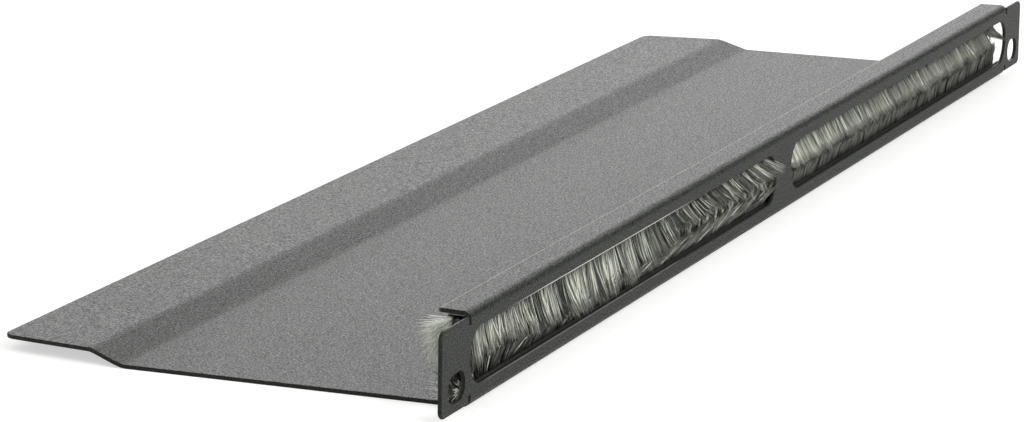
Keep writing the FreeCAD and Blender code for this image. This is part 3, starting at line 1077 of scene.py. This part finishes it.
@dataclass
class Studio:
    """A pale floor, softboxes overhead, before and behind the object, and a room that is brighter behind.

    The room's light grows from its front level to its back level between two directions, each given by
    its part along the depth.
    """

    floor_size: float = 6.0
    floor_colour: str = "cfcfcd"
    floor_glow: float = 0.55
    front_level: float = 0.25
    back_level: float = 0.9
    front_direction: float = -0.45
    back_direction: float = 0.3
    lamps: tuple[Softbox, ...] = (
        Softbox("overhead_softbox", (0.0, 0.1, 1.5), 1.6, 1.6, 0.2),
        Softbox("key_softbox", (-0.45, -1.05, 0.65), 1.0, 1.0, 5.0),
        Softbox("back_softbox", (1.35, 0.62, 0.5), 1.6, 0.9, 2.85),
    )

    def floor(self) -> bpy.types.Object:
        """Model the floor just under the tray.

        Returns:
            The floor.
        """
        sheet = bmesh.new()
        bmesh.ops.create_grid(sheet, x_segments=1, y_segments=1, size=self.floor_size / 2)
        bmesh.ops.translate(sheet, verts=sheet.verts, vec=(0.0, 0.0, CAD_BOX[0][2]))
        mesh = bpy.data.meshes.new("floor")
        sheet.to_mesh(mesh)
        sheet.free()
        floor = bpy.data.objects.new("floor", mesh)
        bpy.context.scene.collection.objects.link(floor)
        paint(floor, self.floor_paint())
        return floor

    def floor_paint(self) -> bpy.types.Material:
        """Build the floor's matte paint, which glows where it is seen or mirrored and so stays pale.

        Returns:
            The new material.
        """
        material, tree = blank_material("studio_floor_paint")
        path = add_node(tree, "ShaderNodeLightPath").outputs
        seen = path["Is Camera Ray"]
        for ray in ("Is Glossy Ray", "Is Transmission Ray"):
            seen = add_node(
                tree, "ShaderNodeMath", links={0: seen, 1: path[ray]}, operation="MAXIMUM"
            ).outputs[0]
        level = add_node(
            tree, "ShaderNodeMath", {1: self.floor_glow}, {0: seen}, operation="MULTIPLY"
        ).outputs[0]
        glow = add_node(tree, "ShaderNodeEmission", links={"Strength": level})
        pale = add_node(tree, "ShaderNodeBsdfDiffuse", {"Color": linear(self.floor_colour)})
        both = add_node(tree, "ShaderNodeAddShader", links={0: pale.outputs[0], 1: glow.outputs[0]})
        add_node(tree, "ShaderNodeOutputMaterial", links={"Surface": both.outputs[0]})
        return material

    def room(self) -> None:
        """Light the room softly, brighter behind the object than before it."""
        world = bpy.data.worlds.new("studio_room")
        world.use_nodes = True
        tree = world.node_tree
        tree.nodes.clear()
        way = add_node(tree, "ShaderNodeTexCoord").outputs["Generated"]
        back = add_node(tree, "ShaderNodeSeparateXYZ", links={0: way}).outputs["Y"]
        directions = {"From Min": self.front_direction, "From Max": self.back_direction}
        levels = {"To Min": self.front_level, "To Max": self.back_level}
        level = add_node(
            tree, "ShaderNodeMapRange", directions | levels, {"Value": back}
        ).outputs["Result"]
        white = add_node(tree, "ShaderNodeBackground", links={"Strength": level})
        add_node(tree, "ShaderNodeOutputWorld", links={"Surface": white.outputs[0]})
        bpy.context.scene.world = world

    def build(self) -> None:
        """Set up the floor, the room and the lamps."""
        self.floor()
        self.room()
        for lamp in self.lamps:
            lamp.build()


def brush_strips() -> list[BrushStrip]:
    """Describe the four strips, each combed as use has left it.

    Returns:
        The strips, the upper row's first.
    """
    # each station: share of the strip's length from its left end, reach, along, front, shade, strands
    # low shades are painted shade: the hollow above the left ear, the mass behind the upper left strip's
    # pale strands, and the lower rows, which lie under the upper rows
    upper_left = (
        Station(0.0, 9.5, -3.0, -1.2, 0.2, 0.0),
        Station(0.02, 9.5, -2.5, -1.6, 0.5, 0.03),
        Station(0.03, 9.5, -2.2, -1.8, 0.85, 0.08),
        Station(0.08, 7.5, -0.6, -2.4, 0.85, 0.08),
        Station(0.15, 8.5, 0.3, -2.8, 0.85, 0.08),
        Station(0.32, 11.4, 0.8, -3.0, 0.9, 0.08),
        Station(0.42, 12.0, 1.1, -3.1, 0.85, 0.09),
        Station(0.52, 11.0, 1.4, -3.2, 0.75, 0.08),
        Station(0.58, 8.5, 1.8, -3.4, 0.45, 0.07),
        Station(0.62, 6.0, 2.4, -3.6, 0.3, 0.07),
        Station(0.85, 5.4, 3.2, -4.0, 0.28, 0.07),
        Station(0.95, 4.2, 6.0, -5.0, 0.45, 0.08),
        Station(1.0, 3.6, 6.5, -5.2, 0.5, 0.1),
    )
    upper_right = (
        Station(0.0, 7.2, 1.0, -2.6, 1.5, 0.08),
        Station(0.1, 7.2, 1.8, -3.2, 1.45, 0.06),
        Station(0.35, 7.0, 1.9, -3.2, 1.2, 0.02),
        Station(0.85, 6.8, 2.0, -3.2, 0.97, 0.005),
        Station(1.0, 5.6, 1.5, -3.0, 0.9, 0.005),
    )
    lower_left = (
        Station(0.0, 4.5, -1.0, -0.5, 0.12, 0.005),
        Station(0.2, 4.8, 3.0, -1.6, 0.2, 0.01),
        Station(0.45, 4.6, 4.6, -2.1, 0.35, 0.015),
        Station(0.6, 4.4, 5.5, -2.4, 0.55, 0.02),
        Station(1.0, 4.4, 5.0, -2.4, 0.5, 0.02),
    )
    lower_right = (
        Station(0.0, 5.0, 1.5, -0.8, 0.48),
        Station(0.8, 5.4, 1.5, -0.8, 0.48),
        Station(1.0, 6.4, 1.5, -0.5, 0.4),
    )
    left_partings = (0.19, 0.262, 0.5, 0.554, 0.62, 0.7, 0.76, 0.84)
    right_wisp = Wisp(0.95, 1.0, (224.2, -0.3, 4.3))

    from_roots = (-0.5, 0.0)
    pale_fan = EndFan(
        320, across=(0.8, 1.35), outward=(1.0, 6.5), back=(1.0, 8.5), reach=(-1.0, 9.0),
        shade=(0.95, 1.0), lit=from_roots,
    )
    # painted shade: dark loose hairs in the shade behind the left ear, with a few pale ones
    shaded_loose_fan = EndFan(
        300, across=(-1.0, 1.0), outward=(1.0, 5.0), back=(0.0, 8.0), reach=(-1.0, 5.0),
        shade=(0.0, 0.25), stray=0.3, lit=from_roots,
    )
    # these show through the left ear's slot
    slot_fan = EndFan(
        30, across=(-1.35, -1.1), outward=(3.0, 9.0), back=(-0.45, 0.4), reach=(-2.0, 4.0),
        shade=(0.8, 1.0), lit=from_roots,
    )
    short_fan = EndFan(
        60, across=(-1.0, 1.0), outward=(0.2, 1.2), back=(-0.5, 1.5), reach=(0.5, 4.0),
        shade=(0.1, 0.6),
    )
    # painted shade: short dark hairs in the shade at the left strips' ends, over the core wire's end
    shaded_stub_fan = EndFan(
        120, across=(-1.2, 1.2), outward=(0.4, 1.4), back=(0.0, 1.5), reach=(0.5, 4.0),
        shade=(0.0, 0.1), stray=0.0,
    )

    # the right strips are combed more evenly, and their outer ends are bare
    even = {
        "bare_end": 5.0,
        "pinch": 0.3,
        "gather": 0.1,
        "comb_spread": 0.25,
        "lean_spread": 0.2,
        "shade_spread": 0.4,
    }
    return [
        BrushStrip(
            Row.UPPER, Side.LEFT, 11, upper_left, (pale_fan, shaded_stub_fan), lit=(0.0, 0.42),
            partings=left_partings,
        ),
        BrushStrip(
            Row.UPPER, Side.RIGHT, 12, upper_right, (short_fan,), lit=(0.0, 0.56), wisps=(right_wisp,),
            reach_spread=0.2, back_dim=0.6, **even,
        ),
        BrushStrip(Row.LOWER, Side.LEFT, 13, lower_left, (shaded_loose_fan, shaded_stub_fan, slot_fan), lit=(0.1, 0.9)),
        BrushStrip(
            Row.LOWER, Side.RIGHT, 14, lower_right, (short_fan,), lit=(0.1, 0.6), tip_shade=0.3, **even
        ),
    ]


def main() -> None:
    """Dress the frame, set up the studio and note the size of what shows."""
    logging.basicConfig(level=logging.INFO, format="%(name)s: %(message)s")
    bpy.context.scene.view_settings.view_transform = "Standard"
    PhotoCamera().build()
    Studio().build()
    paint(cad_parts["folded_panel_tray"], PowderCoat().material())
    log.info("folded_panel_tray coated")
    nylon = NylonHair().material()
    strip = RolledSteel("black_zinc_strip", "4a4b4a", "6c6d6b", roughness=0.5).material()
    wire = RolledSteel("drawn_steel_wire", "77797b", "a2a4a6", line_mm=0.08).material()
    field = HairField()
    for brush in brush_strips():
        hairs = brush.build(field)
        brush.dress(hairs, nylon, strip, wire)
        log.info("%s: %d faces", hairs.name, len(hairs.data.polygons))


if __name__ == "__main__":
    main()
